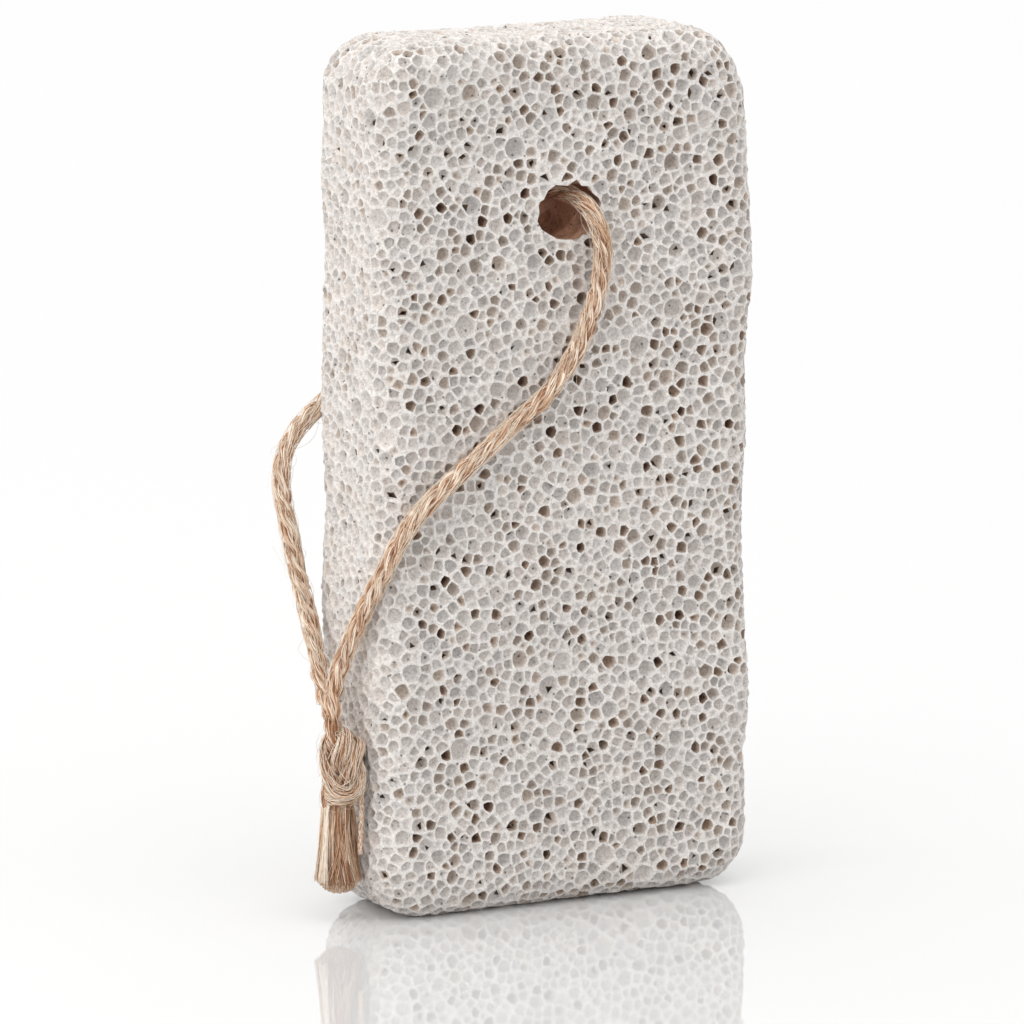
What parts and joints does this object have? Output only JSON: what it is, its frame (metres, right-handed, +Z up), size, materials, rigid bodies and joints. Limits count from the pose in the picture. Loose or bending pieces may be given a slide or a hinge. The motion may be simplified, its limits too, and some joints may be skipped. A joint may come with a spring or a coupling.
{
  "type": "pumice stone",
  "caption": "Upright rounded bar of porous pumice, drilled near the top, with a knotted jute twine loop and a frayed tassel, for rubbing hard skin off the feet.",
  "frame": {"origin": "middle of the stone's flat bottom end, on the surface that it stands on", "axes": "+Z up along the stone's length; +Y from the broad front face to the back face, through the hole; +X to the right as seen from the front, so the knot hangs on the -X side"},
  "size_m": [0.0537, 0.0236, 0.1],
  "materials": {
    "pumice": "dry, matt, open cells with pale thin walls, some of them brown inside",
    "jute": "natural three-ply jute twine, matt with a slight sheen and loose fibres"
  },
  "bodies": {
    "root": {"stone": "pumice", "twine_loop": "jute", "knot": "jute", "tassel": "jute"}
  },
  "joints": []
}
